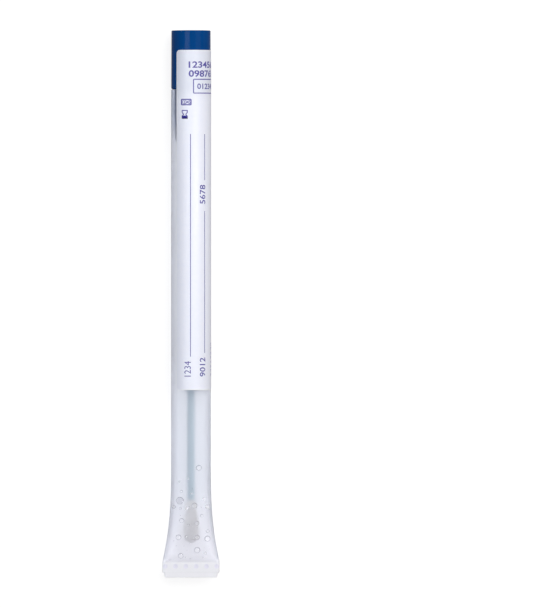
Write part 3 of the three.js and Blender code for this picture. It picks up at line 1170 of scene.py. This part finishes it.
# %% Strength by kind of ray
def larger_of(tree, one, other):
    larger = add_node(tree, "Math")
    larger.operation = "MAXIMUM"
    tree.links.new(one, larger.inputs[0])
    tree.links.new(other, larger.inputs[1])
    return larger.outputs[0]


def background_light(tree, camera, glossy, through):
    """A strength for each kind of ray that looks at the background, and none for the others."""
    rays = add_node(tree, "LightPath").outputs
    total = None
    for kind, value in (("Camera", camera), ("Glossy", glossy), ("Transmission", through)):
        given = add_node(tree, "MapRange", Value=rays[f"Is {kind} Ray"], To_Max=value)
        one = given.outputs["Result"]
        total = one if total is None else larger_of(tree, total, one)
    return total


# %% [markdown]
# ### Floor
#
# Frosted plastic takes its tone from what lies behind it. Seen through the wall, the floor is white
# in two bands beside the tube. Under the tube's middle it is a little darker, which is painted
# shade for the tube's own shadow, and it is darker farther out too. That draws soft stripes along
# the wall. The bands follow X.

# %% Floor
select_only()
bpy.ops.mesh.primitive_plane_add(size=8)
floor = bpy.context.object
floor.name = "floor"
floor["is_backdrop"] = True
floor_white = new_finish("floor_white", (0.3, 0.3, 0.3), 0.9, Specular_IOR_Level=0.0)
tree = floor_white.node_tree
shader = tree.nodes["Principled BSDF"]
shader.inputs["Emission Color"].default_value = (1, 1, 1, 1)
aside = add_node(tree, "Math")
aside.operation = "ABSOLUTE"
tree.links.new(axis_of(tree, "Object", "X"), aside.inputs[0])
share = add_node(tree, "MapRange", From_Max=16 * mm, Value=aside.outputs[0])
# Painted shade: the glow that the wall sees dips under the tube's middle, standing in for the
# tube's shadow.
glow_and_painted_shade = ramp_of(tree, share.outputs["Result"], 0.85, 0.8, 0.19, 1.0)
for white_at in (0.375, 0.75):
    glow_and_painted_shade.node.color_ramp.elements.new(white_at).color = (1, 1, 1, 1)
strength = background_light(tree, 0.8, 0.25, glow_and_painted_shade)
tree.links.new(strength, shader.inputs["Emission Strength"])
floor.data.materials.append(floor_white)
print("floor", [round(v, 1) for v in floor.dimensions], "m")

# %% [markdown]
# ### Sky
#
# The sky lights the object softly from all round, and the glossy cap and the clear wall mirror it.
# For the rays that look at it, it is brighter towards the horizon, which draws light edges on round
# pieces. It turns from cool to warm across X, as a studio with a window on one side does.

# %% Sky
world = bpy.data.worlds.new("studio")
bpy.context.scene.world = world
world.use_nodes = True
tree = world.node_tree
sky = tree.nodes["Background"]
upwards, sideways = (axis_of(tree, "Generated", axis) for axis in "ZX")
near_horizon = add_node(tree, "MapRange", From_Min=0.35, From_Max=0.1, Value=upwards)
white = background_light(tree, 0.6, 0.6, 0.6)
backdrop = add_node(tree, "Math")
backdrop.operation = "MULTIPLY_ADD"
backdrop.inputs[2].default_value = 0.4
tree.links.new(white, backdrop.inputs[0])
tree.links.new(near_horizon.outputs["Result"], backdrop.inputs[1])
tree.links.new(backdrop.outputs[0], sky.inputs["Strength"])
across = add_node(tree, "MapRange", From_Min=-0.7, From_Max=0.7, Value=sideways)
warmth = ramp_of(tree, across.outputs["Result"], (0.88, 0.92, 1.0), (1.04, 0.97, 0.92))
tree.links.new(warmth, sky.inputs["Color"])
print("sky of", len(tree.nodes), "nodes")

# %% [markdown]
# ### Lamps
#
# Two sorts of softbox are used. Fills light the matt surfaces and are not mirrored: a large one
# from overhead, and low ones that reach the sides, the bud and the weld's edges. Windows do the
# opposite. They are only mirrored, so they draw the bright streaks on the film, the cap and the
# beads, each as wide as the lamp is. A lamp can be told which pieces it lights.


# %% Lamps
def lamp(name, lean, along, away, size, size_y, power, lights=(), seen=True):
    """A softbox aimed at the tube: it leans towards +X and +Y by these angles from overhead."""
    light = bpy.data.lights.new(name, "AREA")
    light.shape = "RECTANGLE"
    light.size, light.size_y, light.energy = size, size_y, power
    box = bpy.data.objects.new(name, light)
    bpy.context.scene.collection.objects.link(box)
    towards = Vector((math.tan(math.radians(lean)), math.tan(math.radians(along)), 1))
    box.location = Vector((0, 0, axis_z)) + towards.normalized() * away
    box.rotation_mode = "QUATERNION"
    box.rotation_quaternion = towards.to_track_quat("Z", "Y")
    box.visible_camera = False
    box.visible_glossy = seen
    box.visible_diffuse = not seen
    box.visible_transmission = False
    if lights:
        lit = bpy.data.collections.new(f"lit_by_{name}")
        for piece in lights:
            lit.objects.link(piece)
        box.light_linking.receiver_collection = lit


film = (label, seal, print_all, print_seal)
lamp("overhead", 16, 20, 1.2, 1.2, 1.2, 12.0, seen=False)
lamp("low_fill", -75, -65, 0.5, 0.4, 0.4, 0.5, (tube,), seen=False)
lamp("bud_fill", -55, -15, 0.5, 0.4, 0.4, 1.5, (bud, fuzz), seen=False)
lamp("left_edge_fill", -89, 0, 0.5, 0.04, 0.04, 0.7, (tube,), seen=False)
lamp("right_edge_fill", 89, 0, 0.5, 0.04, 0.04, 0.45, (tube,), seen=False)
lamp("end_fill", 0, -89, 0.5, 0.04, 0.04, 0.6, (tube,), seen=False)
lamp("right_window", 28, 5, 0.5, 0.36, 0.3, 0.53, film)
lamp("near_window", 28, 23, 0.1, 0.02, 0.02, 0.035, film)
lamp("left_window", -21, 10, 0.5, 0.23, 0.2, 0.58, film)
lamp("narrow_window", -20.3, 10, 0.5, 0.1, 0.3, 0.7, (cap,))
lamp("wide_window", 45, 10, 0.5, 0.7, 0.3, 1.2, (cap,))
lamp("low_window", 34, -34, 0.5, 0.35, 0.35, 2.2, (drops,))
print(len(bpy.data.lights), "lamps")

# %% [markdown]
# ### Camera
#
# The camera looks straight down from far away through a long lens, so that the sides of the tube
# run parallel. The lens follows from the height of the view that it has to fill. The tube lies left
# of the middle, so the camera stands to the right of it and isn't turned.

# %% Camera
camera_data = bpy.data.cameras.new("camera")
camera = bpy.data.objects.new("camera", camera_data)
bpy.context.scene.collection.objects.link(camera)
bpy.context.scene.camera = camera
camera_height, camera_aside, view_height = 5.0, 24.4 * mm, 185.4 * mm
camera_data.sensor_width = 36
camera_data.lens = 36 * (camera_height - axis_z) / view_height
camera_data.clip_end = 20
camera.location = (camera_aside, 0, camera_height)
bpy.context.scene.view_settings.view_transform = "Standard"
print("lens", round(camera_data.lens), "mm at", camera_height, "m")

# %% [markdown]
# ## Size
#
# The fine model's box is printed in millimetres.

# %% Size
low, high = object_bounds()
print("visual box", [round(v / mm, 3) for v in low], [round(v / mm, 3) for v in high], "mm")
